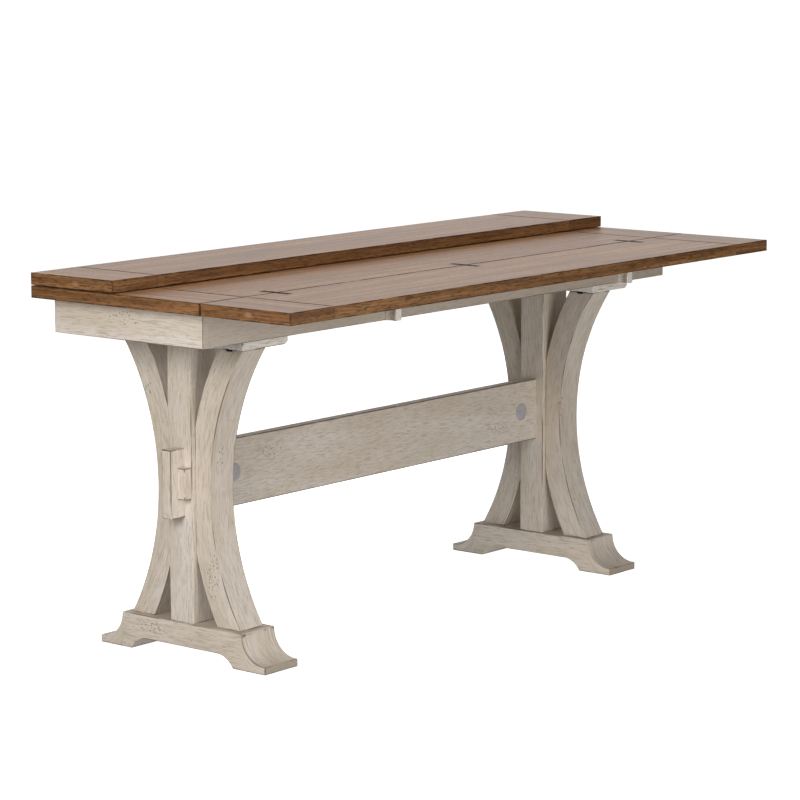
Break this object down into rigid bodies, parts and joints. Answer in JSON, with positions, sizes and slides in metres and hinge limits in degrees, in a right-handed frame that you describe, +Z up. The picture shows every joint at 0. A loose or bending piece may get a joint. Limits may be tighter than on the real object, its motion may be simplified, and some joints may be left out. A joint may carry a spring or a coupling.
{
  "type": "flip-top sofa table",
  "caption": "Narrow trestle sofa table whose hinged half-depth leaves flip open from the fixed top and rest on slide-out supports.",
  "frame": {"origin": "on the floor, below the middle of the table's box with the front leaf open and the rear leaf folded", "axes": "+X along the table's length, -Y towards the open front leaf, +Z up"},
  "size_m": [1.626, 0.6878, 0.787],
  "materials": {
    "stained_top": "taupe brown stained wood with a satin lacquer and darker eased edges",
    "painted_frame": "antique white wire-brushed paint, rubbed through on the edges",
    "raw_wood": "unfinished planed hardwood",
    "dark_steel": "blackened steel, dull",
    "zinc_steel": "zinc plated steel",
    "cap_plastic": "moulded plastic, satin",
    "glide_nylon": "moulded nylon, matt"
  },
  "bodies": {
    "frame": {"apron_front_rail": "painted_frame", "apron_left_rail": "painted_frame", "apron_rear_rail": "painted_frame", "apron_right_rail": "painted_frame", "cleat_screws": "zinc_steel", "corner_blocks": "raw_wood", "corner_screws": "zinc_steel", "cross_rail_left": "raw_wood", "cross_rail_right": "raw_wood", "fixed_top_end_left": "stained_top", "fixed_top_end_right": "stained_top", "fixed_top_panel": "stained_top", "foot_glides": "glide_nylon", "front_top_hinge_pins": "dark_steel", "front_top_hinge_plates": "dark_steel", "front_top_hinge_screws": "dark_steel", "left_trestle_cleat": "painted_frame", "left_trestle_foot": "painted_frame", "left_trestle_front_leg": "painted_frame", "left_trestle_post": "painted_frame", "left_trestle_rear_leg": "painted_frame", "leg_brackets": "dark_steel", "rear_top_hinge_pins": "dark_steel", "rear_top_hinge_plates": "dark_steel", "rear_top_hinge_screws": "dark_steel", "right_trestle_cleat": "painted_frame", "right_trestle_foot": "painted_frame", "right_trestle_front_leg": "painted_frame", "right_trestle_post": "painted_frame", "right_trestle_rear_leg": "painted_frame", "stretcher": "painted_frame", "stretcher_bolt_caps": "cap_plastic", "stretcher_keys": "painted_frame", "stretcher_nuts": "zinc_steel", "stretcher_studs": "zinc_steel", "stretcher_tenon_ends": "painted_frame", "support_keepers": "raw_wood", "trestle_lag_screws": "zinc_steel"},
    "front_hinge_links": {"front_hinge_links": "dark_steel"},
    "front_leaf": {"front_leaf_end_left": "stained_top", "front_leaf_end_right": "stained_top", "front_leaf_hinge_pins": "dark_steel", "front_leaf_hinge_plates": "dark_steel", "front_leaf_hinge_screws": "dark_steel", "front_leaf_panel": "stained_top"},
    "rear_hinge_links": {"rear_hinge_links": "dark_steel"},
    "rear_leaf": {"rear_leaf_end_left": "stained_top", "rear_leaf_end_right": "stained_top", "rear_leaf_hinge_pins": "dark_steel", "rear_leaf_hinge_plates": "dark_steel", "rear_leaf_hinge_screws": "dark_steel", "rear_leaf_panel": "stained_top"},
    "front_support_left": {"front_stop_pin_left": "raw_wood", "front_support_left": "painted_frame"},
    "front_support_right": {"front_stop_pin_right": "raw_wood", "front_support_right": "painted_frame"},
    "rear_support_left": {"rear_stop_pin_left": "raw_wood", "rear_support_left": "painted_frame"},
    "rear_support_right": {"rear_stop_pin_right": "raw_wood", "rear_support_right": "painted_frame"}
  },
  "joints": [
    {"name": "front_link_turn", "type": "hinge", "parent": "frame", "child": "front_hinge_links", "pos_m": [0, -0.11142, 0.7578], "axis": [-1, 0, 0], "range_deg": [0, 90]},
    {"name": "front_leaf_turn", "type": "hinge", "parent": "front_hinge_links", "child": "front_leaf", "pos_m": [0, -0.11933, 0.7578], "axis": [-1, 0, 0], "range_deg": [0, 90]},
    {"name": "front_support_left_slide", "type": "slide", "parent": "frame", "child": "front_support_left", "axis": [0, -1, 0], "range_m": [0, 0.16]},
    {"name": "front_support_right_slide", "type": "slide", "parent": "frame", "child": "front_support_right", "axis": [0, -1, 0], "range_m": [0, 0.16]},
    {"name": "rear_link_turn", "type": "hinge", "parent": "frame", "child": "rear_hinge_links", "pos_m": [0, 0.34068, 0.7578], "axis": [-1, 0, 0], "range_deg": [0, 90]},
    {"name": "rear_leaf_turn", "type": "hinge", "parent": "rear_hinge_links", "child": "rear_leaf", "pos_m": [0, 0.34068, 0.7657], "axis": [-1, 0, 0], "range_deg": [0, 90]},
    {"name": "rear_support_left_slide", "type": "slide", "parent": "frame", "child": "rear_support_left", "axis": [0, 1, 0], "range_m": [0, 0.16]},
    {"name": "rear_support_right_slide", "type": "slide", "parent": "frame", "child": "rear_support_right", "axis": [0, 1, 0], "range_m": [0, 0.16]}
  ],
  "couplings": [
    {"joint": "front_link_turn", "follows": "front_leaf_turn", "ratio": 1},
    {"joint": "rear_link_turn", "follows": "rear_leaf_turn", "ratio": 1}
  ]
}
